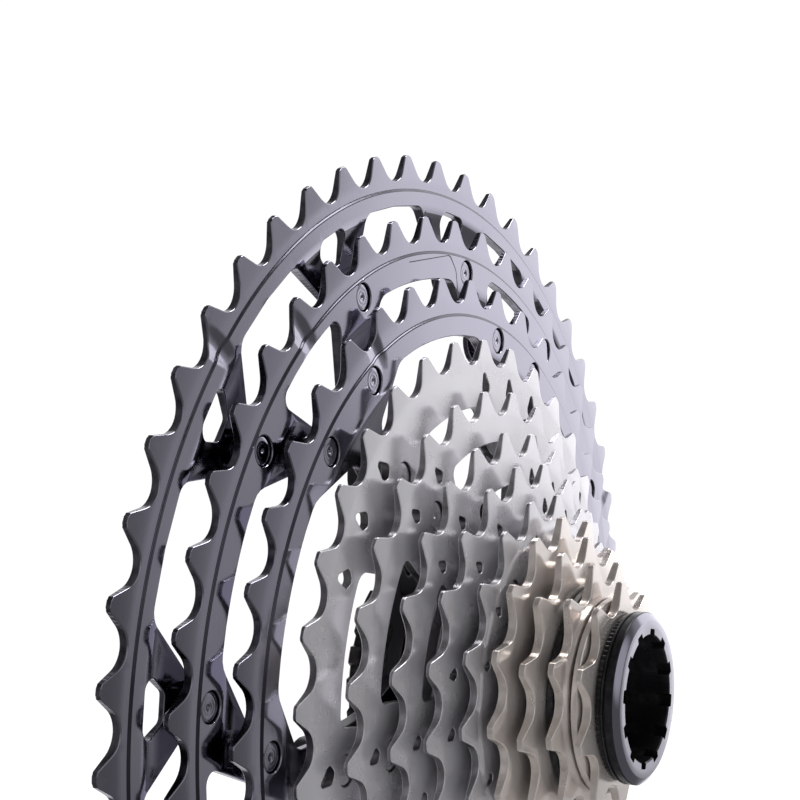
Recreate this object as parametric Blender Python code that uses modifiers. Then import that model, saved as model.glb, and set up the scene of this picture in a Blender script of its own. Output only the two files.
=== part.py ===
# Twelve-sprocket bicycle cassette on its splined core.
# Frame: metres, +Z up. The wheel axis is Y. The origin is the centre of the core's inboard end,
# and the small sprockets and the lockring lie towards -Y (outboard).

from math import cos, pi, radians, sin

import bmesh
import bpy

# ---- chain and stack -------------------------------------------------------
CHAIN_PITCH = 0.0127
ROLLER_RADIUS = 0.0039
TOOTH_HEIGHT = 0.0050        # root to tip
SEAT_WIDTH = 0.0050          # flat width of a tooth gap at the root
TIP_WIDTH = 0.0020           # width of a tooth across its tip
SPROCKET_SPACING = 0.00375   # face to face
LARGE_FACE_Y = -0.006        # outboard face of the largest sprocket
ALLOY_THICKNESS = 0.0022
TITANIUM_THICKNESS = 0.0018
STEEL_THICKNESS = 0.0019

# teeth, the angle of one tooth in degrees, and the finish, from the inboard side out
SPROCKETS = [
    (51, 6.7, "alloy"), (45, 2.0, "alloy"), (39, 5.5, "alloy"),
    (33, 0.7, "titanium"), (28, 3.1, "titanium"), (24, 0.4, "titanium"),
    (21, 6.4, "titanium"), (18, 13.6, "titanium"),
    (16, 14.1, "steel"), (14, 19.8, "steel"), (12, 21.6, "steel"), (10, 28.0, "steel"),
]
THICKNESS = {"alloy": ALLOY_THICKNESS, "titanium": TITANIUM_THICKNESS, "steel": STEEL_THICKNESS}

# ---- fits ------------------------------------------------------------------
GAP = 0.0003                 # between pieces that touch
HOLE_CLEARANCE = 0.0003      # radial, around a rivet
SPLINE_CLEARANCE = 0.0003    # radial and sideways, on the core's splines

# ---- core ------------------------------------------------------------------
CORE_RADIUS = 0.0173
NOSE_STEP = 0.0030           # the nose is this much smaller than the splined barrel
NOSE_WALL = 0.0012           # metal outside the lockring thread
BORE_STEP = 0.0016           # the bore is this much smaller than the thread
CORE_FLANGE_RADIUS = 0.0240
CORE_FLANGE_THICKNESS = 0.0025
SPLINE_COUNT = 24
SPLINE_DEPTH = 0.0011
SPLINE_GROOVE_WIDTH = 0.0021
LUG_COUNT = 8                # spline lugs inside each splined sprocket
NOSE_INSET = 0.0008          # how far the core's nose stops inside the smallest sprocket
BARREL_INSET = 0.0010        # how far the splined barrel reaches past its last sprocket
CUT_MARGIN = 0.0005          # how far a cutter runs past the metal it cuts

# ---- arms and rivets -------------------------------------------------------
ARM_COUNT = 6
ARM_ANGLE = 20.0             # centre of the first arm, degrees from +X towards +Z
RIM_DEPTH = 0.0047           # plain rim under the tooth roots of the largest sprocket
SHORT_RIM_DEPTH = 0.0042     # second sprocket, between the legs of a pair
DEEP_RIM_DEPTH = 0.0071      # second sprocket, between two pairs
SHORT_WINDOW_HALF = 8.6      # degrees each side of the arm's centre
DEEP_BAY = (-40.5, -19.5)    # degrees from the arm's centre, start and end
THIRD_RIM_DEPTH = 0.0056
THIRD_BAY = (-44.0, -16.0)
GUSSET_NECK_RISE = 0.0080    # from the carrier rivets out to where the gussets narrow
GUSSET_NECK_HALF = 5.4       # degrees
TITANIUM_RIM_DEPTH = 0.0081
TITANIUM_BAY = (-38.5, -10.0)
TITANIUM_ARM_EDGE = 18.5     # degrees, trailing edge of an arm where it meets its inner rivet
TITANIUM_ARM_RISE = 0.0020   # how far that corner lies outside the inner rivet
WINDOW_RIM_DEPTH = 0.0051    # above the windows of the smaller titanium sprockets
WINDOW_FOOT = 0.0055         # from the long rivets out to the windows
WINDOW_HALF = 16.0           # degrees
OUTER_RIVET_INSET = 0.0051   # below the roots of the second sprocket
OUTER_RIVET_SPREAD = 15.0    # degrees each side of an arm's centre
LARGE_WINDOW_HALF = 6.0      # degrees, half of the wide windows of the largest sprocket
FORK_WINDOW_HALF = 2.9       # degrees, half of the windows inside its forked legs
MIDDLE_RIVET_INSET = 0.0053  # below the roots of the third sprocket
MIDDLE_RIVET_SPREAD = 8.0
CARRIER_RIVET_INSET = 0.0099  # below the roots of the first titanium sprocket
CARRIER_RIVET_OFFSET = -2.0
INNER_RIVET_INSET = 0.0090   # below the roots of the second titanium sprocket
CLUSTER_RIVET_INSET = 0.0057  # below the roots of the last titanium sprocket
CLUSTER_RIVET_COUNT = 3
SHANK_RADIUS = 0.0024        # rivets of the three large sprockets
SHOULDER_RADIUS = 0.0038
CARRIER_SHANK_RADIUS = 0.0026
CLUSTER_SHANK_RADIUS = 0.0018
BOSS_RADIUS = 0.0048         # metal around a rivet hole
CLUSTER_BOSS_RADIUS = 0.0036
CARRIER_THICKNESS = 0.0030
CARRIER_HUB_WALL = 0.0067
CARRIER_HUB_ARC = (-40.0, -18.0)
CARRIER_ARM_WIDTH = 0.0100
CLUSTER_BORE_MARGIN = 0.0006  # metal inside the bosses of the long rivets

# ---- lockring and rings ----------------------------------------------------
WASHER_THICKNESS = 0.0008
WASHER_LEDGE = 0.0013        # how far the washer reaches past the nose
LOCKRING_LEDGE = 0.0018      # how far the lockring reaches past the nose
LOCKRING_BEVEL = 0.0007
LOCKRING_FLANGE_THICKNESS = 0.0032
LOCKRING_SLEEVE_WALL = 0.0010
LOCKRING_SLEEVE_LENGTH = 0.0060
NOTCH_COUNT = 12
NOTCH_DEPTH = 0.0012
NOTCH_WIDTH = 0.0026
NOTCH_FLOOR = 0.0008         # flange metal left behind the notches
SPACER_WALL = 0.0026
NOSE_SPACER_WALL = 0.0041
ROUND_STEPS = 48
RIVET_STEPS = 8

# ---- radii that follow from the values above -------------------------------
NOSE_RADIUS = CORE_RADIUS - NOSE_STEP
THREAD_RADIUS = NOSE_RADIUS - NOSE_WALL
CORE_BORE_RADIUS = THREAD_RADIUS - BORE_STEP


def teeth_pitch_radius(teeth):
    return CHAIN_PITCH / (2 * sin(pi / teeth))


def root_radius(teeth):
    return teeth_pitch_radius(teeth) - ROLLER_RADIUS


def tip_radius(teeth):
    return root_radius(teeth) + TOOTH_HEIGHT


def outer_rivet_radius():
    return root_radius(45) - OUTER_RIVET_INSET


def middle_rivet_radius():
    return root_radius(39) - MIDDLE_RIVET_INSET


def carrier_rivet_radius():
    return root_radius(33) - CARRIER_RIVET_INSET


def inner_rivet_radius():
    return root_radius(28) - INNER_RIVET_INSET


def cluster_rivet_radius():
    return root_radius(18) - CLUSTER_RIVET_INSET


def cluster_bore_radius():
    return cluster_rivet_radius() - CLUSTER_BOSS_RADIUS - CLUSTER_BORE_MARGIN


def face_y(index):
    return LARGE_FACE_Y - index * SPROCKET_SPACING


def inboard_y(index):
    return face_y(index) + THICKNESS[SPROCKETS[index][2]]


def index_of(teeth):
    return [row[0] for row in SPROCKETS].index(teeth)


def polar(radius, degrees):
    return (radius * cos(radians(degrees)), radius * sin(radians(degrees)))


def arm_angles():
    return [ARM_ANGLE + step * 360 / ARM_COUNT for step in range(ARM_COUNT)]


# ---- outlines, as lists of points in the wheel's plane ---------------------
def toothed_outline(teeth, timing):
    root = root_radius(teeth)
    tip = tip_radius(teeth)
    pitch = 360 / teeth
    seat = SEAT_WIDTH / root * 90 / pi
    land = TIP_WIDTH / tip * 90 / pi
    points = []
    for tooth in range(teeth):
        centre = timing + tooth * pitch
        points.append(polar(root, centre - pitch / 2 + seat))
        points.append(polar(tip, centre - land))
        points.append(polar(tip, centre + land))
        points.append(polar(root, centre + pitch / 2 - seat))
    return points


def circle(radius, steps, centre=(0, 0), first=0.0):
    points = []
    for step in range(steps):
        x, z = polar(radius, first + step * 360 / steps)
        points.append((centre[0] + x, centre[1] + z))
    return points


def arc(radius, start, end, steps):
    return [polar(radius, start + (end - start) * step / steps) for step in range(steps + 1)]


def round_end(centre_radius, degrees, end_radius, steps=4):
    """Half circle around a rivet on its inner side, walked with rising angle."""
    cx, cz = polar(centre_radius, degrees)
    points = []
    for step in range(steps + 1):
        x, z = polar(end_radius, degrees - 90 - 180 * step / steps)
        points.append((cx + x, cz + z))
    return points


def rivet_hole(radius, degrees, shank):
    return circle(shank + HOLE_CLEARANCE, RIVET_STEPS, polar(radius, degrees))


def splined_bore():
    """Bore that slides on the core, with lugs that drop into its grooves."""
    outer = CORE_RADIUS + SPLINE_CLEARANCE
    inner = CORE_RADIUS - SPLINE_DEPTH + SPLINE_CLEARANCE
    half = (SPLINE_GROOVE_WIDTH / 2 - SPLINE_CLEARANCE) / inner * 180 / pi
    pitch = 360 / LUG_COUNT
    points = []
    for lug in range(LUG_COUNT):
        centre = lug * pitch
        points.append(polar(outer, centre - half))
        points.append(polar(inner, centre - half))
        points.append(polar(inner, centre + half))
        points.append(polar(outer, centre + half))
        points.append(polar(outer, centre + pitch / 3))
        points.append(polar(outer, centre + pitch * 2 / 3))
    return points


def windows(outer):
    """One closed window halfway between each two arms."""
    loops = []
    for angle in arm_angles():
        centre = angle + 180 / ARM_COUNT
        loop = arc(outer, centre - WINDOW_HALF, centre + WINDOW_HALF, 4)
        loop += arc(cluster_rivet_radius() + WINDOW_FOOT, centre + WINDOW_HALF, centre - WINDOW_HALF, 3)
        loops.append(loop)
    return loops


# ---- Blender helpers -------------------------------------------------------
def clear_scene():
    for item in list(bpy.data.objects):
        bpy.data.objects.remove(item, do_unlink=True)


def make_collection(name):
    group = bpy.data.collections.new(name)
    bpy.context.scene.collection.children.link(group)
    return group


def make_material(name, color, metallic, roughness):
    material = bpy.data.materials.new(name)
    material.use_nodes = True
    shader = material.node_tree.nodes["Principled BSDF"]
    shader.inputs["Base Color"].default_value = (*color, 1.0)
    shader.inputs["Metallic"].default_value = metallic
    shader.inputs["Roughness"].default_value = roughness
    return material


def finish_mesh(item, name, material, group, parent):
    item.name = name
    item.data.name = name
    item.data.materials.append(material)
    item.data.set_sharp_from_angle(angle=radians(35))
    for owner in list(item.users_collection):
        owner.objects.unlink(item)
    group.objects.link(item)
    item.parent = parent
    return item


def plate(name, loops, y_outboard, thickness, material, group, parent):
    """Flat part cut to an outline, with every further loop a hole in it."""
    curve = bpy.data.curves.new(name, "CURVE")
    curve.dimensions = "2D"
    curve.fill_mode = "BOTH"
    curve.extrude = thickness / 2
    for loop in loops:
        spline = curve.splines.new("POLY")
        spline.points.add(len(loop) - 1)
        for point, (x, z) in zip(spline.points, loop):
            point.co = (x, z, 0, 1)
        spline.use_cyclic_u = True
    flat = bpy.data.objects.new(name, curve)
    bpy.context.scene.collection.objects.link(flat)
    flat.rotation_euler = (pi / 2, 0, 0)
    flat.location = (0, y_outboard + thickness / 2, 0)
    bpy.context.view_layer.update()
    solid = flat.evaluated_get(bpy.context.evaluated_depsgraph_get())
    mesh = bpy.data.meshes.new_from_object(solid)
    weld = bmesh.new()
    weld.from_mesh(mesh)
    bmesh.ops.remove_doubles(weld, verts=weld.verts, dist=0.000005)
    weld.to_mesh(mesh)
    weld.free()
    item = bpy.data.objects.new(name, mesh)
    item.matrix_world = flat.matrix_world.copy()
    bpy.context.scene.collection.objects.link(item)
    bpy.data.objects.remove(flat, do_unlink=True)
    return finish_mesh(item, name, material, group, parent)


def turned(name, profile, steps, material, group, parent, centre=(0, 0), closed=False):
    """Body turned from (radius, y) points, listed from the outboard end to the inboard end."""
    mesh = bpy.data.meshes.new(name)
    verts = [(radius, 0, -y) for radius, y in profile]
    edges = [(step, step + 1) for step in range(len(verts) - 1)]
    if closed:
        edges.append((len(verts) - 1, 0))
    mesh.from_pydata(verts, edges, [])
    item = bpy.data.objects.new(name, mesh)
    screw = item.modifiers.new("turn", "SCREW")
    screw.steps = steps
    screw.render_steps = steps
    screw.use_merge_vertices = True
    screw.merge_threshold = 0.00001
    item.rotation_euler = (pi / 2, 0, 0)
    item.location = (centre[0], 0, centre[1])
    bpy.context.scene.collection.objects.link(item)
    return finish_mesh(item, name, material, group, parent)


def box_into(mesh_data, size, place, degrees):
    """Add one box to a mesh: size and place are (radial, y, sideways), turned about Y."""
    cube = bmesh.ops.create_cube(mesh_data, size=1.0)
    angle = radians(degrees)
    for vert in cube["verts"]:
        out = place[0] + vert.co.x * size[0]
        along = place[1] + vert.co.y * size[1]
        side = place[2] + vert.co.z * size[2]
        vert.co = (out * cos(angle) - side * sin(angle), along, out * sin(angle) + side * cos(angle))


def ring_of_boxes(name, count, size, place, group, first=0.0):
    """Cutter made of boxes that stand around the axis."""
    mesh = bpy.data.meshes.new(name)
    boxes = bmesh.new()
    for step in range(count):
        box_into(boxes, size, place, first + step * 360 / count)
    boxes.to_mesh(mesh)
    boxes.free()
    item = bpy.data.objects.new(name, mesh)
    item.hide_render = True
    item.display_type = "WIRE"
    group.objects.link(item)
    return item


def ring_of_posts(name, count, radius, height, post_radius, y_outboard, first, group):
    """Round bosses around the axis, kept in one mesh for one Boolean."""
    mesh = bpy.data.meshes.new(name)
    posts = bmesh.new()
    for step in range(count):
        x, z = polar(radius, first + step * 360 / count)
        post = bmesh.ops.create_cone(posts, cap_ends=True, segments=RIVET_STEPS,
                                     radius1=post_radius, radius2=post_radius, depth=height)
        for vert in post["verts"]:
            vert.co = (x + vert.co.x, y_outboard + height / 2 - vert.co.z, z + vert.co.y)
    bmesh.ops.recalc_face_normals(posts, faces=posts.faces)
    posts.to_mesh(mesh)
    posts.free()
    item = bpy.data.objects.new(name, mesh)
    item.hide_render = True
    item.display_type = "WIRE"
    group.objects.link(item)
    return item


def boolean(item, cutter, operation):
    modifier = item.modifiers.new(operation.lower(), "BOOLEAN")
    modifier.operation = operation
    modifier.object = cutter
    modifier.solver = "EXACT"


# ---- the large alloy sprockets ---------------------------------------------
def outer_rivet_angles():
    return sorted(a + s * OUTER_RIVET_SPREAD for a in arm_angles() for s in (-1, 1))


def middle_rivet_angles():
    return sorted(a + s * MIDDLE_RIVET_SPREAD for a in arm_angles() for s in (-1, 1))


def largest_sprocket_loops(teeth, timing):
    """Rim with twelve forked legs, each ending on an outer rivet."""
    rim = root_radius(teeth) - RIM_DEPTH
    half_step = 180 / len(outer_rivet_angles())
    foot = half_step - LARGE_WINDOW_HALF
    inner = []
    for angle in outer_rivet_angles():
        inner += [polar(rim, angle - half_step), polar(rim, angle - foot)]
        inner += round_end(outer_rivet_radius(), angle, BOSS_RADIUS)
        inner += [polar(rim, angle + foot)]
    loops = [toothed_outline(teeth, timing), inner]
    for angle in outer_rivet_angles():
        notch = outer_rivet_radius() + BOSS_RADIUS
        loops.append([polar(rim, angle - FORK_WINDOW_HALF), polar(rim, angle + FORK_WINDOW_HALF),
                      polar(notch, angle + 1.2), polar(notch, angle - 1.2)])
        loops.append(rivet_hole(outer_rivet_radius(), angle, SHANK_RADIUS))
    return loops


def second_sprocket_loops(teeth, timing):
    """Rim with six pairs of legs that lean together towards the middle rivets."""
    short_rim = root_radius(teeth) - SHORT_RIM_DEPTH
    deep_rim = root_radius(teeth) - DEEP_RIM_DEPTH
    inner = []
    for angle in arm_angles():
        low = angle - MIDDLE_RIVET_SPREAD
        high = angle + MIDDLE_RIVET_SPREAD
        inner += arc(deep_rim, angle + DEEP_BAY[0], angle + DEEP_BAY[1], 3)
        inner += round_end(middle_rivet_radius(), low, BOSS_RADIUS)
        inner += arc(short_rim, angle - SHORT_WINDOW_HALF, angle + SHORT_WINDOW_HALF, 3)
        inner += round_end(middle_rivet_radius(), high, BOSS_RADIUS)
    loops = [toothed_outline(teeth, timing), inner]
    loops += [rivet_hole(outer_rivet_radius(), a, SHANK_RADIUS) for a in outer_rivet_angles()]
    loops += [rivet_hole(middle_rivet_radius(), a, SHANK_RADIUS) for a in middle_rivet_angles()]
    return loops


def third_sprocket_loops(teeth, timing):
    """Rim with six gussets, each narrowing to a carrier rivet."""
    rim = root_radius(teeth) - THIRD_RIM_DEPTH
    inner = []
    for angle in arm_angles():
        foot = angle + CARRIER_RIVET_OFFSET
        inner += arc(rim, angle + THIRD_BAY[0], angle + THIRD_BAY[1], 4)
        inner += [polar(carrier_rivet_radius() + GUSSET_NECK_RISE, foot - GUSSET_NECK_HALF)]
        inner += round_end(carrier_rivet_radius(), foot, BOSS_RADIUS)
        inner += [polar(carrier_rivet_radius() + GUSSET_NECK_RISE, foot + GUSSET_NECK_HALF)]
    loops = [toothed_outline(teeth, timing), inner]
    loops += [rivet_hole(middle_rivet_radius(), a, SHANK_RADIUS) for a in middle_rivet_angles()]
    loops += carrier_rivet_holes()
    return loops


def carrier_rivet_holes():
    return [rivet_hole(carrier_rivet_radius(), a + CARRIER_RIVET_OFFSET, CARRIER_SHANK_RADIUS)
            for a in arm_angles()]


def inner_rivet_holes():
    return [rivet_hole(inner_rivet_radius(), a + CARRIER_RIVET_OFFSET, CARRIER_SHANK_RADIUS)
            for a in arm_angles()]


def cluster_rivet_angles():
    return [ARM_ANGLE + step * 360 / CLUSTER_RIVET_COUNT for step in range(CLUSTER_RIVET_COUNT)]


def cluster_rivet_holes():
    return [rivet_hole(cluster_rivet_radius(), a, CLUSTER_SHANK_RADIUS)
            for a in cluster_rivet_angles()]


# ---- the titanium sprockets ------------------------------------------------
def first_titanium_loops(teeth, timing):
    """Deep rim whose broad arms reach in to the inner rivets."""
    rim = root_radius(teeth) - TITANIUM_RIM_DEPTH
    inner = []
    for angle in arm_angles():
        foot = angle + CARRIER_RIVET_OFFSET
        inner += arc(rim, angle + TITANIUM_BAY[0], angle + TITANIUM_BAY[1], 4)
        inner += round_end(inner_rivet_radius(), foot, BOSS_RADIUS)
        inner += [polar(inner_rivet_radius() + TITANIUM_ARM_RISE, angle + TITANIUM_ARM_EDGE)]
    loops = [toothed_outline(teeth, timing), inner]
    return loops + carrier_rivet_holes() + inner_rivet_holes()


def second_titanium_loops(teeth, timing):
    """Sprocket with six windows, joined to the last by inner rivets."""
    loops = [toothed_outline(teeth, timing), circle(cluster_bore_radius(), 24)]
    loops += windows(root_radius(teeth) - WINDOW_RIM_DEPTH)
    return loops + inner_rivet_holes() + cluster_rivet_holes()


def third_titanium_loops(teeth, timing):
    loops = [toothed_outline(teeth, timing), circle(cluster_bore_radius(), 24)]
    loops += windows(root_radius(teeth) - WINDOW_RIM_DEPTH)
    return loops + cluster_rivet_holes()


def fourth_titanium_loops(teeth, timing):
    loops = [toothed_outline(teeth, timing), circle(cluster_bore_radius(), 24)]
    return loops + cluster_rivet_holes()


def last_titanium_loops(teeth, timing):
    return [toothed_outline(teeth, timing), splined_bore()] + cluster_rivet_holes()


def steel_loops(teeth, timing):
    return [toothed_outline(teeth, timing), splined_bore()]


def smallest_steel_loops(teeth, timing):
    return [toothed_outline(teeth, timing), circle(NOSE_RADIUS + GAP, ROUND_STEPS // 2)]


LOOPS = {
    51: largest_sprocket_loops, 45: second_sprocket_loops, 39: third_sprocket_loops,
    33: first_titanium_loops, 28: second_titanium_loops, 24: third_titanium_loops,
    21: fourth_titanium_loops, 18: last_titanium_loops,
    16: steel_loops, 14: steel_loops, 12: steel_loops, 10: smallest_steel_loops,
}
BOSSED = (24, 21, 18)        # sprockets with stand-off bosses around the long rivets


def build_sprockets(materials, group, cutters, parents):
    for index, (teeth, timing, finish) in enumerate(SPROCKETS):
        name = "sprocket_%d" % teeth
        parent = parents.get(name, parents["cluster"])
        item = plate(name, LOOPS[teeth](teeth, timing), face_y(index), THICKNESS[finish],
                     materials[finish], group, parent)
        if teeth not in BOSSED:
            continue
        height = SPROCKET_SPACING - THICKNESS[finish] - GAP
        bosses = ring_of_posts("boss_%d" % teeth, CLUSTER_RIVET_COUNT, cluster_rivet_radius(),
                               height + THICKNESS[finish] / 2, CLUSTER_BOSS_RADIUS,
                               inboard_y(index) - THICKNESS[finish] / 2, ARM_ANGLE, cutters)
        holes = ring_of_posts("boss_bore_%d" % teeth, CLUSTER_RIVET_COUNT, cluster_rivet_radius(),
                              height + THICKNESS[finish] + 2 * CUT_MARGIN,
                              CLUSTER_SHANK_RADIUS + HOLE_CLEARANCE,
                              face_y(index) - CUT_MARGIN, ARM_ANGLE, cutters)
        boolean(item, bosses, "UNION")
        boolean(item, holes, "DIFFERENCE")


def build_rivets(materials, group, parent):
    """Shouldered rivets: the shoulder keeps two sprockets apart, both ends are flush."""
    def shouldered(name, radius, degrees, outer_teeth, inner_teeth, shank, shoulder, finish):
        outer = index_of(outer_teeth)
        inner = index_of(inner_teeth)
        start = face_y(outer)
        end = inboard_y(inner)
        top = inboard_y(outer) + GAP
        bottom = face_y(inner) - GAP
        profile = [(0, start), (shank, start), (shank, top), (shoulder, top),
                   (shoulder, bottom), (shank, bottom), (shank, end), (0, end)]
        turned(name, profile, RIVET_STEPS, materials[finish], group, parent, polar(radius, degrees))

    for step, angle in enumerate(outer_rivet_angles()):
        shouldered("outer_rivet_%02d" % (step + 1), outer_rivet_radius(), angle, 45, 51,
                   SHANK_RADIUS, SHOULDER_RADIUS, "alloy")
    for step, angle in enumerate(middle_rivet_angles()):
        shouldered("middle_rivet_%02d" % (step + 1), middle_rivet_radius(), angle, 39, 45,
                   SHANK_RADIUS, SHOULDER_RADIUS, "alloy")
    for step, angle in enumerate(arm_angles()):
        place = polar(carrier_rivet_radius(), angle + CARRIER_RIVET_OFFSET)
        start = face_y(index_of(33))
        top = inboard_y(index_of(33)) + GAP
        bottom = face_y(index_of(39)) - GAP
        end = carrier_face_y() + CARRIER_THICKNESS
        profile = [(0, start), (CARRIER_SHANK_RADIUS, start), (CARRIER_SHANK_RADIUS, top),
                   (SHOULDER_RADIUS, top), (SHOULDER_RADIUS, bottom),
                   (CARRIER_SHANK_RADIUS, bottom), (CARRIER_SHANK_RADIUS, end), (0, end)]
        turned("carrier_rivet_%d" % (step + 1), profile, RIVET_STEPS, materials["titanium"],
               group, parent, place)
        shouldered("inner_rivet_%d" % (step + 1), inner_rivet_radius(),
                   angle + CARRIER_RIVET_OFFSET, 28, 33, CARRIER_SHANK_RADIUS, SHOULDER_RADIUS,
                   "titanium")
    for step, angle in enumerate(cluster_rivet_angles()):
        start = face_y(index_of(18))
        end = inboard_y(index_of(28))
        profile = [(0, start), (CLUSTER_SHANK_RADIUS, start), (CLUSTER_SHANK_RADIUS, end), (0, end)]
        turned("cluster_rivet_%d" % (step + 1), profile, RIVET_STEPS, materials["titanium"],
               group, parent, polar(cluster_rivet_radius(), angle))


# ---- carrier, core, rings and lockring -------------------------------------
def carrier_face_y():
    return inboard_y(index_of(39)) + GAP


def build_carrier(materials, group, parent):
    """Six-armed carrier that takes the drive from the core to the large sprockets."""
    outline = []
    half = CARRIER_ARM_WIDTH / 2
    for angle in arm_angles():
        foot = angle + CARRIER_RIVET_OFFSET
        outline += arc(CORE_RADIUS + CARRIER_HUB_WALL, angle + CARRIER_HUB_ARC[0],
                       angle + CARRIER_HUB_ARC[1], 2)
        cx, cz = polar(carrier_rivet_radius(), foot)
        for step in range(5):
            x, z = polar(half, foot - 90 + 45 * step)
            outline.append((cx + x, cz + z))
    plate("carrier", [outline, splined_bore()] + carrier_rivet_holes(), carrier_face_y(),
          CARRIER_THICKNESS, materials["carrier"], group, parent)


def core_nose_y():
    return face_y(index_of(10)) + NOSE_INSET


def core_barrel_y():
    return inboard_y(index_of(12)) - BARREL_INSET


def build_core(materials, group, cutters, parent):
    shoulder = -CORE_FLANGE_THICKNESS
    thread_end = core_nose_y() + LOCKRING_SLEEVE_LENGTH
    profile = [(NOSE_RADIUS, core_nose_y()), (NOSE_RADIUS, core_barrel_y()),
               (CORE_RADIUS, core_barrel_y()), (CORE_RADIUS, shoulder),
               (CORE_FLANGE_RADIUS, shoulder), (CORE_FLANGE_RADIUS, 0),
               (CORE_BORE_RADIUS, 0), (CORE_BORE_RADIUS, thread_end),
               (THREAD_RADIUS, thread_end), (THREAD_RADIUS, core_nose_y())]
    core = turned("core_body", profile, ROUND_STEPS, materials["black"], group, parent,
                  closed=True)
    length = shoulder - GAP - core_barrel_y() + CUT_MARGIN
    size = (SPLINE_DEPTH + CUT_MARGIN, length, SPLINE_GROOVE_WIDTH)
    place = (CORE_RADIUS + (CUT_MARGIN - SPLINE_DEPTH) / 2, shoulder - GAP - length / 2, 0)
    boolean(core, ring_of_boxes("core_grooves", SPLINE_COUNT, size, place, cutters), "DIFFERENCE")


def ring(name, inner, outer, y_outboard, y_inboard, material, group, parent):
    profile = [(outer, y_outboard), (outer, y_inboard), (inner, y_inboard), (inner, y_outboard)]
    turned(name, profile, ROUND_STEPS // 2, material, group, parent, closed=True)


def washer_y():
    return face_y(index_of(10)) - GAP - WASHER_THICKNESS


def lockring_back_y():
    return washer_y() - GAP


def build_rings(materials, group, parents):
    bore = CORE_RADIUS + SPLINE_CLEARANCE + GAP
    ring("inboard_spacer", bore, bore + SPACER_WALL, carrier_face_y() + CARRIER_THICKNESS + GAP,
         -CORE_FLANGE_THICKNESS - GAP, materials["black"], group, parents["cluster"])
    for outer, inner in ((16, 18), (14, 16), (12, 14)):
        ring("spacer_%d_%d" % (inner, outer), bore, bore + SPACER_WALL,
             inboard_y(index_of(outer)) + GAP, face_y(index_of(inner)) - GAP,
             materials["black"], group, parents["sprocket_%d" % outer])
    ring("spacer_12_10", NOSE_RADIUS + GAP, NOSE_RADIUS + NOSE_SPACER_WALL,
         inboard_y(index_of(10)) + GAP, face_y(index_of(12)) - GAP,
         materials["steel"], group, parents["sprocket_10"])
    ring("lockring_washer", THREAD_RADIUS + GAP, NOSE_RADIUS + WASHER_LEDGE, washer_y(),
         washer_y() + WASHER_THICKNESS, materials["black"], group, parents["washer"])


def build_lockring(materials, group, cutters, parent):
    front = lockring_back_y() - LOCKRING_FLANGE_THICKNESS
    sleeve = THREAD_RADIUS - GAP
    bore = sleeve - LOCKRING_SLEEVE_WALL
    rim = NOSE_RADIUS + LOCKRING_LEDGE
    profile = [(rim - LOCKRING_BEVEL, front), (rim, front + LOCKRING_BEVEL),
               (rim, lockring_back_y()), (sleeve, lockring_back_y()),
               (sleeve, lockring_back_y() + LOCKRING_SLEEVE_LENGTH),
               (bore, lockring_back_y() + LOCKRING_SLEEVE_LENGTH), (bore, front)]
    lockring = turned("lockring", profile, ROUND_STEPS, materials["black"], group, parent,
                      closed=True)
    depth = LOCKRING_FLANGE_THICKNESS - NOTCH_FLOOR
    size = (NOTCH_DEPTH + CUT_MARGIN, depth + CUT_MARGIN, NOTCH_WIDTH)
    place = (bore + (NOTCH_DEPTH - CUT_MARGIN) / 2, front + (depth - CUT_MARGIN) / 2, 0)
    cutter = ring_of_boxes("tool_notches", NOTCH_COUNT, size, place, cutters)
    boolean(lockring, cutter, "DIFFERENCE")


def make_parents(group):
    """Empties on the wheel axis, one for each piece that comes off the core by itself."""
    names = ["core", "cluster", "sprocket_16", "sprocket_14", "sprocket_12", "sprocket_10",
             "washer", "lockring"]
    parents = {}
    for name in names:
        empty = bpy.data.objects.new("axis_" + name, None)
        empty.empty_display_size = 0.02
        group.objects.link(empty)
        parents[name] = empty
    return parents


def main():
    clear_scene()
    group = make_collection("cassette")
    cutters = make_collection("cutters")
    materials = {
        "alloy": make_material("black_anodised", (0.035, 0.034, 0.04), 1.0, 0.16),
        "titanium": make_material("satin_titanium", (0.66, 0.65, 0.67), 1.0, 0.30),
        "steel": make_material("nickel_steel", (0.74, 0.66, 0.60), 1.0, 0.22),
        "carrier": make_material("dark_carrier", (0.06, 0.06, 0.065), 1.0, 0.35),
        "black": make_material("black_coated", (0.02, 0.02, 0.022), 0.6, 0.25),
    }
    parents = make_parents(group)
    build_core(materials, group, cutters, parents["core"])
    build_carrier(materials, group, parents["cluster"])
    build_sprockets(materials, group, cutters, parents)
    build_rivets(materials, group, parents["cluster"])
    build_rings(materials, group, parents)
    build_lockring(materials, group, cutters, parents["lockring"])


main()
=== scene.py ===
from math import acos, atan2, cos, degrees, hypot, pi, radians, sin, tan

import bmesh
import bpy
import numpy as np
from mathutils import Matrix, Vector
from mathutils.geometry import delaunay_2d_cdt


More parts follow.
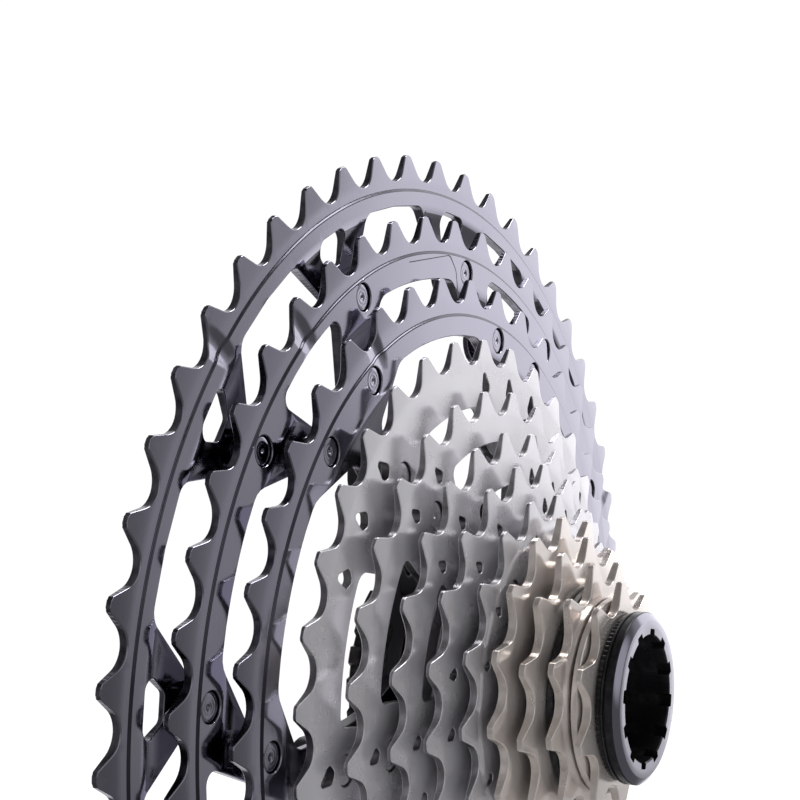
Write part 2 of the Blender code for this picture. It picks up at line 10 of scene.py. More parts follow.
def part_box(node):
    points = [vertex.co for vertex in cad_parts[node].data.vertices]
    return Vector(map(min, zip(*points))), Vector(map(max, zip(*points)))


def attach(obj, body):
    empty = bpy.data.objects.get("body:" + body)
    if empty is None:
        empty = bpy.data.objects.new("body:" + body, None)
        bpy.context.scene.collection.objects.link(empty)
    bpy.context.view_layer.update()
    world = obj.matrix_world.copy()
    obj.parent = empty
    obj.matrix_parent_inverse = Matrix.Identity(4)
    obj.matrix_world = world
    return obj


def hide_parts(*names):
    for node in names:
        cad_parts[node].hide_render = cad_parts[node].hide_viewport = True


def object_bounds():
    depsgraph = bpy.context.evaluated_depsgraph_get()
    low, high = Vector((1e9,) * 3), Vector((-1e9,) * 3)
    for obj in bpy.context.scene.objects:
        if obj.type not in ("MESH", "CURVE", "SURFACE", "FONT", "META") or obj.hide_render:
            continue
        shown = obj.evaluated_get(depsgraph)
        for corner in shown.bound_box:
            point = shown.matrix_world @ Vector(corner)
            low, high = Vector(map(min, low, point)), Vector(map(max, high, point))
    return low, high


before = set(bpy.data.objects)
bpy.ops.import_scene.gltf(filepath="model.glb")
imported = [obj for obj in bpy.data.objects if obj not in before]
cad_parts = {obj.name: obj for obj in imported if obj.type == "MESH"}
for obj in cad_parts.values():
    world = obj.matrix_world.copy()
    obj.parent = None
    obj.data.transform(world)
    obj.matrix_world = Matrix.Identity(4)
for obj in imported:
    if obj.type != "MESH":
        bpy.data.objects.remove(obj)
cadLow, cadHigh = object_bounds()
print("frame loaded:", len(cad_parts), "nodes")

# All shapes are worked out in millimetres in the wheel's plane (x across, z up) and y along the axle.
mm = 0.001
chain = {"pitch": 12.7, "roller": 3.9, "seat": 4.0, "toothHeight": 5.0, "tipHalf": 1.05, "tipCorner": 0.32}
stack = {"firstFace": -6.0, "spacing": 3.75, "alloy": 2.2, "titanium": 1.8, "steel": 1.9,
         "teeth": [51, 45, 39, 33, 28, 24, 21, 18, 16, 14, 12, 10]}
armCentres = [20 + 60 * k for k in range(6)]


def polar(r, a):
    # a point in the wheel's plane, with its angle in degrees
    return (r * cos(radians(a)), r * sin(radians(a)))


def rootRadius(teeth):
    return chain["pitch"] / (2 * sin(pi / teeth)) - chain["roller"]


def tipRadius(teeth):
    return rootRadius(teeth) + chain["toothHeight"]


def flankTip(teeth, lean):
    # where a flank that leaves the roller seat at this lean meets the tip circle
    root, tip = rootRadius(teeth), tipRadius(teeth)
    s, h = chain["seat"] * sin(lean), chain["seat"] * (1 - cos(lean))
    x, step = root + h, 0.0
    while hypot(x + step * sin(lean), s + step * cos(lean)) < tip:
        step += 0.02
    return x + step * sin(lean), s + step * cos(lean)


def flankLean(teeth):
    low, high = radians(35), radians(75)
    for _ in range(18):
        mid = (low + high) / 2
        x, s = flankTip(teeth, mid)
        half = tipRadius(teeth) * (pi / teeth - atan2(s, x))
        low, high = (mid, high) if half < chain["tipHalf"] else (low, mid)
    return mid


def toothEdge(teeth, timing):
    # roller seats joined by straight flanks to narrow tips, walked with rising angle
    lean = flankLean(teeth)
    root = rootRadius(teeth)
    tipX, tipS = flankTip(teeth, lean)
    s0, h0 = chain["seat"] * sin(lean), chain["seat"] * (1 - cos(lean))
    half = [(chain["seat"] * (1 - cos(lean * k / 6)), chain["seat"] * sin(lean * k / 6)) for k in range(7)]
    half = [(root + h, s) for h, s in half]
    for k in (0.3, 0.6, 0.86):
        half.append((root + h0 + (tipX - root - h0) * k, s0 + (tipS - s0) * k))
    cut = chain["tipCorner"]
    tipAngle = atan2(tipS, tipX)
    tip = tipRadius(teeth)
    half.append((tipX - cut * sin(lean) * 0.9, tipS - cut * cos(lean) * 0.9))
    half.append((tip * cos(tipAngle + 0.004) - 0.06, tip * sin(tipAngle + 0.004) + 0.06))
    landAngle = tipAngle + cut / tip
    half.append((tip * cos(landAngle), tip * sin(landAngle)))
    local = [(x, -s) for x, s in reversed(half[1:])] + half
    points = []
    for tooth in range(teeth):
        valley = radians(timing + (tooth - 0.5) * 360 / teeth)
        for x, s in local:
            points.append((x * cos(valley) - s * sin(valley), x * sin(valley) + s * cos(valley)))
    return points


def ringLoop(radius, steps, centre=(0, 0), turn=0.0):
    return [(centre[0] + radius * cos(2 * pi * k / steps + turn),
             centre[1] + radius * sin(2 * pi * k / steps + turn)) for k in range(steps)]


def arcLoop(radius, start, end, step=1.5):
    count = max(1, int(abs(end - start) / step + 0.5))
    return [polar(radius, start + (end - start) * k / count) for k in range(count + 1)]


def bossEnd(radius, angle, size, steps=12):
    # half circle on the inner side of a rivet
    cx, cz = polar(radius, angle)
    return [(cx + polar(size, angle - 90 - 180 * k / steps)[0],
             cz + polar(size, angle - 90 - 180 * k / steps)[1]) for k in range(steps + 1)]


def fillet(corners):
    # corners are (x, z, radius): each one becomes an arc of that radius
    points = []
    count = len(corners)
    for k in range(count):
        x, z, size = corners[k]
        if size <= 0:
            points.append((x, z))
            continue
        here = Vector((x, z))
        back = Vector(corners[k - 1][:2]) - here
        ahead = Vector(corners[(k + 1) % count][:2]) - here
        room = 0.48 * min(back.length, ahead.length)
        back.normalize()
        ahead.normalize()
        half = acos(max(-1, min(1, back.dot(ahead)))) / 2
        if half > radians(86):
            points.append((x, z))
            continue
        reach = min(size / tan(half), room)
        size = reach * tan(half)
        middle = here + (back + ahead).normalized() * (size / sin(half))
        first = here + back * reach - middle
        turn = (pi - 2 * half) * (1 if back.x * ahead.y - back.y * ahead.x < 0 else -1)
        steps = max(2, int(abs(turn) / radians(14)))
        for s in range(steps + 1):
            a = turn * s / steps
            points.append((middle.x + first.x * cos(a) - first.y * sin(a),
                           middle.y + first.x * sin(a) + first.y * cos(a)))
    return points


def corner(r, a, size):
    return (*polar(r, a), size)


def area(loop):
    p = np.array(loop)
    q = np.roll(p, -1, 0)
    return 0.5 * float(np.sum(p[:, 0] * q[:, 1] - q[:, 0] * p[:, 1]))


def thinned(loop, least=0.06):
    kept = []
    for p in loop:
        if not kept or hypot(p[0] - kept[-1][0], p[1] - kept[-1][1]) > least:
            kept.append(p)
    if hypot(kept[0][0] - kept[-1][0], kept[0][1] - kept[-1][1]) <= least:
        kept.pop()
    return kept


def inset(loop, distance):
    # moves a loop towards the metal, which lies on the left of the walk
    p = np.array(loop)
    before = p - np.roll(p, 1, 0)
    after = np.roll(p, -1, 0) - p
    before /= np.linalg.norm(before, axis=1)[:, None]
    after /= np.linalg.norm(after, axis=1)[:, None]
    n1 = np.stack([-before[:, 1], before[:, 0]], 1)
    n2 = np.stack([-after[:, 1], after[:, 0]], 1)
    middle = n1 + n2
    middle /= np.maximum(np.linalg.norm(middle, axis=1), 1e-6)[:, None]
    share = np.maximum((middle * n1).sum(1), 0.6)
    return p + middle * (distance / share)[:, None]


def insideLoops(points, loops, margin=0.0):
    # crossing count against every edge, and the distance to the nearest one if a margin is asked
    points = np.asarray(points, float)
    a = np.concatenate([np.asarray(l, float) for l in loops])
    b = np.concatenate([np.roll(np.asarray(l, float), -1, 0) for l in loops])
    result = np.zeros(len(points), bool)
    d = b - a
    length2 = np.maximum((d * d).sum(1), 1e-12)
    for start in range(0, len(points), 1500):
        p = points[start:start + 1500]
        above = (a[None, :, 1] > p[:, 1, None]) != (b[None, :, 1] > p[:, 1, None])
        with np.errstate(divide="ignore", invalid="ignore"):
            cross = a[None, :, 0] + (p[:, 1, None] - a[None, :, 1]) / (d[None, :, 1]) * d[None, :, 0]
        hit = above & (p[:, 0, None] < cross)
        ok = hit.sum(1) % 2 == 1
        if margin:
            t = ((p[:, None, :] - a[None]) * d[None]).sum(2) / length2[None]
            near = a[None] + np.clip(t, 0, 1)[:, :, None] * d[None]
            ok &= ((p[:, None, :] - near) ** 2).sum(2).min(1) > margin * margin
        result[start:start + 1500] = ok
    return result


def showPiece(mesh, name, finishes, body, nodes, smooth=52):
    piece = bpy.data.objects.new(name, mesh)
    bpy.context.scene.collection.objects.link(piece)
    for finish in finishes:
        mesh.materials.append(finish)
    if smooth:
        mesh.set_sharp_from_angle(angle=radians(smooth))
        weighted = piece.modifiers.new("evenNormals", "WEIGHTED_NORMAL")
        weighted.keep_sharp = True
        weighted.weight = 60
    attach(piece, body)
    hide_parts(*nodes)
    return piece


def tilted(shape, flat, way):
    # the surface's own direction where shape(x, z) sinks it
    x, z = flat[:, 0], flat[:, 1]
    across, up, step = np.zeros(len(flat)), np.zeros(len(flat)), 0.04
    if shape:
        across = (shape(x + step, z) - shape(x - step, z)) / (2 * step)
        up = (shape(x, z + step) - shape(x, z - step)) / (2 * step)
    found = np.stack([across, np.full(len(flat), float(way)), up], 1)
    return found / np.linalg.norm(found, axis=1)[:, None]


def sideNormals(loop):
    # for each edge of a loop, the wall's direction at its start and its end, split at sharp corners
    edges = np.roll(loop, -1, axis=0) - loop
    walls = np.stack([edges[:, 1], np.zeros(len(loop)), -edges[:, 0]], 1)
    walls /= np.linalg.norm(walls, axis=1)[:, None]
    before = np.roll(walls, 1, axis=0)
    soft = (walls * before).sum(1) > cos(radians(40))
    shared = walls + before
    shared /= np.maximum(np.linalg.norm(shared, axis=1), 1e-6)[:, None]
    starts = np.where(soft[:, None], shared, walls)
    finals = np.where(np.roll(soft, -1)[:, None], np.roll(shared, -1, axis=0), walls)
    return starts, finals


def rolled(level, side, top, end):
    # from the outboard face (0) round the edge (1), down the wall (2, 3) to the inboard face (5)
    if level in (0, 5):
        return tuple(top if level == 0 else end)
    if level in (2, 3):
        return tuple(side)
    blend = side + (top if level == 1 else end)
    return tuple(blend / np.linalg.norm(blend))


def platePiece(name, loops, faceY, thickness, finishes, body, nodes,
               relief=None, backRelief=None, creases=(), grid=1.3, edge=0.2, bands=()):
    # cut plate with rounded edges: relief(x, z) sinks the outboard face, creases are lines it keeps
    oriented = []
    for k, loop in enumerate(loops):
        loop = thinned(loop)
        if (area(loop) > 0) != (k == 0):
            loop = loop[::-1]
        oriented.append(np.array(loop))
    inner = [inset(l, edge) for l in oriented]
    middle = [inset(l, edge * 0.293) for l in oriented]
    coords, edges = [], []
    for ring in inner:
        first = len(coords)
        coords += [tuple(p) for p in ring]
        edges += [(first + k, first + (k + 1) % len(ring)) for k in range(len(ring))]
    for line in creases:
        ok = insideLoops(line, inner, 0.12)
        first = len(coords)
        coords += [tuple(p) for p in line]
        for k in range(len(line)):
            following = (k + 1) % len(line)
            if ok[k] and ok[following]:
                edges.append((first + k, first + following))
    usedByLine = set(i for e in edges for i in e)
    keep = [i for i in range(len(coords)) if i in usedByLine]
    place = {old: new for new, old in enumerate(keep)}
    coords = [coords[i] for i in keep]
    edges = [(place[a], place[b]) for a, b in edges]
    reach = np.linalg.norm(oriented[0], axis=1).max()
    least = min(np.linalg.norm(l, axis=1).min() for l in oriented)
    spots = []
    r = least + grid / 2
    while r < reach:
        count = int(2 * pi * r / grid)
        turn = np.arange(count) * 2 * pi / count + r * 7
        spots.append(np.stack([r * np.cos(turn), r * np.sin(turn)], 1))
        r += grid * 0.87
    spots = np.concatenate(spots)
    spots = spots[insideLoops(spots, inner, grid * 0.42)]
    if creases:
        lines = np.concatenate([np.array(l) for l in creases])
        far = np.ones(len(spots), bool)
        for start in range(0, len(spots), 1500):
            gap = spots[start:start + 1500, None, :] - lines[None]
            far[start:start + 1500] = (gap ** 2).sum(2).min(1) > (grid * 0.4) ** 2
        spots = spots[far]
    coords += [tuple(p) for p in spots]
    out = delaunay_2d_cdt([Vector(c) for c in coords], edges, [], 0, 1e-5, True)
    flat, triangles, origins = out[0], out[2], out[3]
    flat = np.array([(p.x, p.y) for p in flat])
    home = {}
    for new, olds in enumerate(origins):
        for old in olds:
            home[old] = new
    centres = np.array([flat[list(t)].mean(0) for t in triangles])
    ok = insideLoops(centres, inner)
    triangles = [t for t, keepIt in zip(triangles, ok) if keepIt]
    used = sorted(set(i for t in triangles for i in t) | set(home[i] for i in range(sum(map(len, inner)))))
    number = {old: new for new, old in enumerate(used)}
    flat = flat[used]
    triangles = [tuple(number[i] for i in t) for t in triangles]
    sink = relief(flat[:, 0], flat[:, 1]) if relief else np.zeros(len(flat))
    backSink = backRelief(flat[:, 0], flat[:, 1]) if backRelief else np.zeros(len(flat))
    front = faceY + sink
    back = faceY + thickness - backSink
    verts = [(p[0], y, p[1]) for p, y in zip(flat, front)] + [(p[0], y, p[1]) for p, y in zip(flat, back)]
    total = len(flat)
    faces = [tuple(t) for t in triangles] + [tuple(i + total for i in reversed(t)) for t in triangles]
    tops = tilted(relief, flat, -1)
    ends = tilted(backRelief, flat, 1)
    corners = [tops[i] for t in triangles for i in t] + [ends[i] for t in triangles for i in reversed(t)]
    first = 0
    for ring, half, rim in zip(inner, middle, oriented):
        ids = [number[home[first + k]] for k in range(len(ring))]
        first += len(ring)
        rows = [ids]
        for shape, drop, side in ((half, 0.293, 0), (rim, 1.0, 0), (rim, 1.0, 1), (half, 0.293, 1)):
            start = len(verts)
            for k, i in enumerate(ids):
                y = front[i] + edge * drop if side == 0 else back[i] - edge * drop
                verts.append((shape[k][0], y, shape[k][1]))
            rows.append(list(range(start, start + len(ids))))
        rows.append([i + total for i in ids])
        starts, finals = sideNormals(rim)
        for level, (a, b) in enumerate(zip(rows, rows[1:])):
            for k in range(len(ids)):
                n = (k + 1) % len(ids)
                faces.append((a[k], b[k], b[n], a[n]))
                for turn, spot, side in ((level, k, starts[k]), (level + 1, k, starts[k]),
                                         (level + 1, n, finals[k]), (level, n, finals[k])):
                    corners.append(rolled(turn, side, tops[ids[spot]], ends[ids[spot]]))
    mesh = bpy.data.meshes.new(name)
    mesh.from_pydata([(x * mm, y * mm, z * mm) for x, y, z in verts], [], faces)
    mesh.shade_smooth()
    for polygon in mesh.polygons:
        # side walls take finish 1, which has real cut marks and a darker colour that is painted shade
        if abs(polygon.normal.y) < 0.35:
            polygon.material_index = 1
        # front faces between two radii take a finish of their own: painted shade in the groove and on the legs
        elif bands and polygon.index < len(triangles):
            reach = hypot(*np.mean([flat[i] for i in faces[polygon.index]], axis=0))
            for k, (low, high) in enumerate(bands):
                if low < reach < high:
                    polygon.material_index = 2 + k
    mesh.normals_split_custom_set(corners)
    return showPiece(mesh, name, finishes, body, nodes, None)


def closedMesh(name, verts, faces):
    # a smooth mesh from millimetres, with every face turned outwards
    mesh = bpy.data.meshes.new(name)
    mesh.from_pydata([(x * mm, y * mm, z * mm) for x, y, z in verts], [], faces)
    work = bmesh.new()
    work.from_mesh(mesh)
    bmesh.ops.recalc_face_normals(work, faces=work.faces)
    for face in work.faces:
        face.smooth = True
    work.to_mesh(mesh)
    work.free()
    return mesh


def turnedMesh(name, profile, steps, centre=(0, 0), closed=False):
    # profile points are (radius, y) in millimetres
    verts, rows = [], []
    for radius, y in profile:
        if radius < 1e-6:
            rows.append([len(verts)])
            verts.append((centre[0], y, centre[1]))
            continue
        rows.append(list(range(len(verts), len(verts) + steps)))
        for k in range(steps):
            a = 2 * pi * k / steps
            verts.append((centre[0] + radius * cos(a), y, centre[1] + radius * sin(a)))
    faces = []
    pairs = list(zip(rows, rows[1:])) + ([(rows[-1], rows[0])] if closed else [])
    for a, b in pairs:
        for k in range(steps):
            n = (k + 1) % steps
            if len(a) == 1:
                faces.append((a[0], b[k], b[n]))
            elif len(b) == 1:
                faces.append((a[k], b[0], a[n]))
            else:
                faces.append((a[k], b[k], b[n], a[n]))
    return closedMesh(name, verts, faces)


def notchedMesh(name, spec, steps, cut):
    # rings of (radius, y, kind) points, closed back to the first: cut gives the radius at each angle
    verts = []
    for radius, y, kind in spec:
        for k in range(steps):
            a = 2 * pi * k / steps
            r = cut(radius, kind, degrees(a))
            verts.append((r * cos(a), y, r * sin(a)))
    rows = [range(first, first + steps) for first in range(0, len(verts), steps)]
    faces = []
    for a, b in zip(rows, rows[1:] + rows[:1]):
        faces += [(a[k], b[k], b[(k + 1) % steps], a[(k + 1) % steps]) for k in range(steps)]
    return closedMesh(name, verts, faces)


def offCentre(angle, pitch):
    # how far an angle is from the nearest of a row of evenly spaced cuts
    return abs((angle + pitch / 2) % pitch - pitch / 2)


def nodeY(node):
    low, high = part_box(node)
    return low.y / mm, high.y / mm


def finishNodes(name):
    material = bpy.data.materials.new(name)
    material.use_nodes = True
    tree = material.node_tree
    shader = tree.nodes["Principled BSDF"]
    where = tree.nodes.new("ShaderNodeTexCoord")
    return material, tree, shader, where


def noiseNode(tree, where, scale, detail=3.0, roughness=0.55, distortion=0.0):
    node = tree.nodes.new("ShaderNodeTexNoise")
    node.inputs["Scale"].default_value = scale
    node.inputs["Detail"].default_value = detail
    node.inputs["Roughness"].default_value = roughness
    node.inputs["Distortion"].default_value = distortion
    tree.links.new(where.outputs["Object"], node.inputs["Vector"])
    return node


def rampNode(tree, source, low, high, lowColor, highColor):
    node = tree.nodes.new("ShaderNodeValToRGB")
    node.color_ramp.elements[0].position = low
    node.color_ramp.elements[1].position = high
    node.color_ramp.elements[0].color = (*lowColor, 1)
    node.color_ramp.elements[1].color = (*highColor, 1)
    tree.links.new(source, node.inputs["Fac"])
    return node


def rangeNode(tree, source, fromLow, fromHigh, toLow, toHigh):
    node = tree.nodes.new("ShaderNodeMapRange")
    node.inputs["From Min"].default_value = fromLow
    node.inputs["From Max"].default_value = fromHigh
    node.inputs["To Min"].default_value = toLow
    node.inputs["To Max"].default_value = toHigh
    tree.links.new(source, node.inputs["Value"])
    return node


def bumpNode(tree, height, strength):
    node = tree.nodes.new("ShaderNodeBump")
    node.inputs["Strength"].default_value = strength
    node.inputs["Distance"].default_value = 0.00005
    tree.links.new(height, node.inputs["Height"])
    return node


def metalFinish(name, look):
    # metal with slow colour drift, turning marks round the axle, fine scratches and worn edges
    material, tree, shader, where = finishNodes(name)
    links = tree.links
    shader.inputs["Metallic"].default_value = look.get("metallic", 1.0)
    drift = noiseNode(tree, where, look["driftScale"], 3.0)
    colour = rampNode(tree, drift.outputs["Fac"], 0.3, 0.7, look["dark"], look["light"])
    geometry = tree.nodes.new("ShaderNodeNewGeometry")
    worn = rangeNode(tree, geometry.outputs["Pointiness"], 0.52, 0.60, 0.0, look["wear"])
    patchy = noiseNode(tree, where, look["wearScale"], 4.0, 0.7)
    patches = rangeNode(tree, patchy.outputs["Fac"], 0.42, 0.62, 0.0, 1.0)
    amount = tree.nodes.new("ShaderNodeMath")
    amount.operation = "MULTIPLY"
    links.new(worn.outputs["Result"], amount.inputs[0])
    links.new(patches.outputs["Result"], amount.inputs[1])
    mix = tree.nodes.new("ShaderNodeMixRGB")
    mix.inputs["Color2"].default_value = (*look["bare"], 1)
    links.new(amount.outputs["Value"], mix.inputs["Fac"])
    links.new(colour.outputs["Color"], mix.inputs["Color1"])
    links.new(mix.outputs["Color"], shader.inputs["Base Color"])
    smear = noiseNode(tree, where, look["smearScale"], 5.0, 0.6)
    rough = rangeNode(tree, smear.outputs["Fac"], 0.25, 0.75, look["roughLow"], look["roughHigh"])
    links.new(rough.outputs["Result"], shader.inputs["Roughness"])
    rings = tree.nodes.new("ShaderNodeTexWave")
    rings.wave_type = "RINGS"
    rings.rings_direction = "Y"
    rings.inputs["Scale"].default_value = look["ringScale"]
    rings.inputs["Distortion"].default_value = look["ringWander"]
    rings.inputs["Detail"].default_value = 2.0
    rings.inputs["Detail Scale"].default_value = 3.0
    links.new(where.outputs["Object"], rings.inputs["Vector"])
    grain = noiseNode(tree, where, look["grainScale"], 2.0, 0.5)
    ringBump = bumpNode(tree, rings.outputs["Fac"], look["ringDepth"])
    grainBump = bumpNode(tree, grain.outputs["Fac"], look["grainDepth"])
    links.new(ringBump.outputs["Normal"], grainBump.inputs["Normal"])
    links.new(grainBump.outputs["Normal"], shader.inputs["Normal"])
    return material


# the walls share what a cutter leaves
cutMarks = {"wear": 0.3, "wearScale": 400, "smearScale": 200, "ringScale": 400, "ringWander": 4,
            "grainScale": 900}
alloyFace = metalFinish("glossBlackAlloy", {
    "dark": (0.345, 0.336, 0.405), "light": (0.415, 0.405, 0.480), "bare": (0.56, 0.55, 0.62),
    "driftScale": 14, "wear": 0.25, "wearScale": 300, "smearScale": 40, "roughLow": 0.07, "roughHigh": 0.14,
    "ringScale": 900, "ringWander": 1.5, "ringDepth": 0.03, "grainScale": 2600, "grainDepth": 0.05})
# darker than the alloy face finish: painted shade on the side walls, together with real cut marks
alloyWallCutAndShade = metalFinish("milledBlackAlloyPaintedShade", {
    **cutMarks, "dark": (0.05, 0.048, 0.058), "light": (0.26, 0.25, 0.29), "bare": (0.5, 0.49, 0.54),
    "driftScale": 420, "wearScale": 500, "smearScale": 300, "roughLow": 0.12, "roughHigh": 0.3,
    "ringDepth": 0.35, "grainDepth": 0.75})
titaniumFace = metalFinish("bareTitanium", {
    "dark": (0.67, 0.66, 0.69), "light": (0.78, 0.77, 0.80), "bare": (0.86, 0.85, 0.87), "metallic": 0.75,
    "driftScale": 18, "wear": 0.3, "wearScale": 260, "smearScale": 60, "roughLow": 0.20, "roughHigh": 0.32,
    "ringScale": 700, "ringWander": 2.0, "ringDepth": 0.10, "grainScale": 2200, "grainDepth": 0.12})
# darker than the titanium face finish: painted shade on the side walls, together with real cut marks
titaniumWallCutAndShade = metalFinish("milledTitaniumPaintedShade", {
    **cutMarks, "dark": (0.24, 0.23, 0.24), "light": (0.50, 0.49, 0.51), "bare": (0.7, 0.7, 0.7),
    "driftScale": 300, "roughLow": 0.22, "roughHigh": 0.42, "ringDepth": 0.3, "grainDepth": 0.5})
steelFace = metalFinish("nickelSteel", {
    "dark": (0.74, 0.68, 0.645), "light": (0.85, 0.80, 0.765), "bare": (0.92, 0.88, 0.84), "metallic": 0.72,
    "driftScale": 30, "wear": 0.3, "wearScale": 260, "smearScale": 80, "roughLow": 0.13, "roughHigh": 0.22,
    "ringScale": 700, "ringWander": 2.0, "ringDepth": 0.05, "grainScale": 2200, "grainDepth": 0.06})
# darker than the steel face finish: painted shade on the side walls, together with real cut marks
steelWallCutAndShade = metalFinish("cutNickelSteelPaintedShade", {
    **cutMarks, "dark": (0.60, 0.53, 0.48), "light": (0.84, 0.78, 0.73), "bare": (0.9, 0.86, 0.82),
    "metallic": 0.7, "driftScale": 260, "roughLow": 0.16, "roughHigh": 0.32, "ringDepth": 0.2,
    "grainDepth": 0.3})
coreBlack = metalFinish("blackCore", {
    "dark": (0.012, 0.012, 0.014), "light": (0.03, 0.03, 0.034), "bare": (0.2, 0.2, 0.21), "metallic": 0.7,
    "driftScale": 60, "wear": 0.35, "wearScale": 300, "smearScale": 90, "roughLow": 0.2, "roughHigh": 0.4,
    "ringScale": 500, "ringWander": 2, "ringDepth": 0.1, "grainScale": 1500, "grainDepth": 0.15})
carrierDark = metalFinish("darkCarrier", {
    "dark": (0.045, 0.045, 0.05), "light": (0.085, 0.085, 0.095), "bare": (0.3, 0.3, 0.32),
    "driftScale": 40, "wear": 0.3, "wearScale": 300, "smearScale": 60, "roughLow": 0.22, "roughHigh": 0.38,
    "ringScale": 500, "ringWander": 2, "ringDepth": 0.08, "grainScale": 1500, "grainDepth": 0.12})
ringSatin = metalFinish("satinLockringFace", {
    "dark": (0.50, 0.50, 0.57), "light": (0.60, 0.60, 0.68), "bare": (0.72, 0.72, 0.78),
    "driftScale": 80, "wear": 0.2, "wearScale": 300, "smearScale": 120, "roughLow": 0.25, "roughHigh": 0.36,
    "ringScale": 1200, "ringWander": 1, "ringDepth": 0.12, "grainScale": 1800, "grainDepth": 0.1})
grooveShade = metalFinish("grooveShade", {
    "dark": (0.06, 0.058, 0.075), "light": (0.12, 0.117, 0.145), "bare": (0.4, 0.39, 0.44),
    "driftScale": 60, "wear": 0.1, "wearScale": 300, "smearScale": 90, "roughLow": 0.12, "roughHigh": 0.25,
    "ringScale": 900, "ringWander": 1.5, "ringDepth": 0.05, "grainScale": 1600, "grainDepth": 0.1})
# the legs are the same anodised metal as the faces: this near-black finish is painted shade on them
legPaintedShade = metalFinish("paintedShadeLegs", {
    "dark": (0.045, 0.043, 0.055), "light": (0.12, 0.115, 0.14), "bare": (0.4, 0.39, 0.44),
    "driftScale": 40, "wear": 0.2, "wearScale": 300, "smearScale": 70, "roughLow": 0.06, "roughHigh": 0.14,
    "ringScale": 900, "ringWander": 1.5, "ringDepth": 0.05, "grainScale": 1600, "grainDepth": 0.08})
print("finishes made:", len(bpy.data.materials))


def smoothStep(value, low, high):
    t = np.clip((value - low) / (high - low), 0, 1)
    return t * t * (3 - 2 * t)


def bandRelief(teeth, groove, step, taper):
    # the tooth band lies a step below the rim and thins towards the tips
    root, tip = rootRadius(teeth), tipRadius(teeth)

    def sink(x, z):
        r = np.hypot(x, z)
        thin = taper * np.clip((r - root) / (tip - root), 0, 1) ** 1.3
        return step * smoothStep(r, groove, groove + 0.35) + thin
    return sink


def legRelief(teeth, own):
    # the legs fall away from the rim towards the sprocket behind
    band = bandRelief(teeth, own["groove"], own["step"], own["taper"])

    def sink(x, z):
        depth = band(x, z) + own["legDrop"] * smoothStep(own["legStart"] - np.hypot(x, z), 0, own["legRun"])
        for angle in rampAngles(own):
            (cx, cz), (ax, az) = polar(own["rampCircle"], angle), polar(1, angle + ramp["lean"])
            along = ((x - cx) * ax + (z - cz) * az) / ramp["long"]
            across = ((z - cz) * ax - (x - cx) * az) / ramp["wide"]
            depth = depth + ramp["depth"] * np.clip(1 - along ** 2 - across ** 2, 0, 1) ** 2
        return depth
    return sink


def rampAngles(own):
    return [own["rampAngle"] + 120 * k for k in range(3)]


def rampLoops(own):
    # rings of points that carry the smooth shape of each shift ramp
    loops = []
    for angle in rampAngles(own):
        (cx, cz), (ax, az) = polar(own["rampCircle"], angle), polar(1, angle + ramp["lean"])
        for share in (0.25, 0.5, 0.75, 1.0):
            ring = []
            for k in range(28):
                u, v = polar(share, k * 360 / 28)
                u, v = u * ramp["long"], v * ramp["wide"]
                ring.append((cx + u * ax - v * az, cz + u * az + v * ax))
            loops.append(ring)
    return loops


def bandCreases(groove, legs):
    return [ringLoop(groove - 0.15, 360), ringLoop(groove + 0.15, 360), ringLoop(groove + 0.42, 360),
            ringLoop(legs, 360)]


ramp = {"long": 7.0, "wide": 3.0, "depth": 0.55, "lean": 12}
largest = {"teeth": 51, "timing": 6.7, "rim": 94.4, "groove": 97.3, "step": 0.32, "taper": 0.35,
           "wideHalf": 6.6, "forkHalf": 3.8, "forkFoot": 87.9, "rivetCircle": 82.0, "spread": 15.0,
           "boss": 4.8, "hole": 2.62, "legStart": 94.6, "legRun": 6.4, "legDrop": 1.0,
           "rampAngle": 149.5, "rampCircle": 98.6}
second = {"teeth": 45, "timing": 2.0, "shortRim": 82.9, "deepRim": 79.9, "groove": 85.0, "step": 0.32,
          "taper": 0.35, "rivetCircle": 69.7, "spread": 8.0, "boss": 4.8, "hole": 2.62,
          "legStart": 79.2, "legRun": 6.0, "legDrop": 0.95, "rampAngle": 139.5, "rampCircle": 87.2}
third = {"teeth": 39, "timing": 5.5, "rim": 68.6, "groove": 72.6, "step": 0.32, "taper": 0.35,
         "rampAngle": 129.5, "rampCircle": 75.6, "rivetCircle": 53.0, "offset": -2.0, "boss": 4.8,
         "hole": 2.82, "neck": 61.0, "neckHalf": 5.2,
         "legStart": 67.0, "legRun": 7.0, "legDrop": 0.9}


def outerRivets():
    return sorted(a + s * largest["spread"] for a in armCentres for s in (-1, 1))


def middleRivets():
    return sorted(a + s * second["spread"] for a in armCentres for s in (-1, 1))


def largestLoops(own):
    inner = []
    for a in outerRivets():
        foot = 15 - own["wideHalf"]
        inner += [corner(own["rim"], a - 15, 0), corner(own["rim"], a - foot, 3.0)]
        inner += [(*p, 0) for p in bossEnd(own["rivetCircle"], a, own["boss"])]
        inner += [corner(own["rim"], a + foot, 3.0)]
    loops = [toothEdge(own["teeth"], own["timing"]), fillet(inner)]
    for a in outerRivets():
        fork = [corner(own["rim"], a + side * own["forkHalf"], 2.4) for side in (-1, 1)]
        fork += [corner(own["forkFoot"], a + side * 1.5, 1.2) for side in (1, -1)]
        loops.append(fillet(fork))
        loops.append(ringLoop(own["hole"], 32, polar(own["rivetCircle"], a)))
    return loops


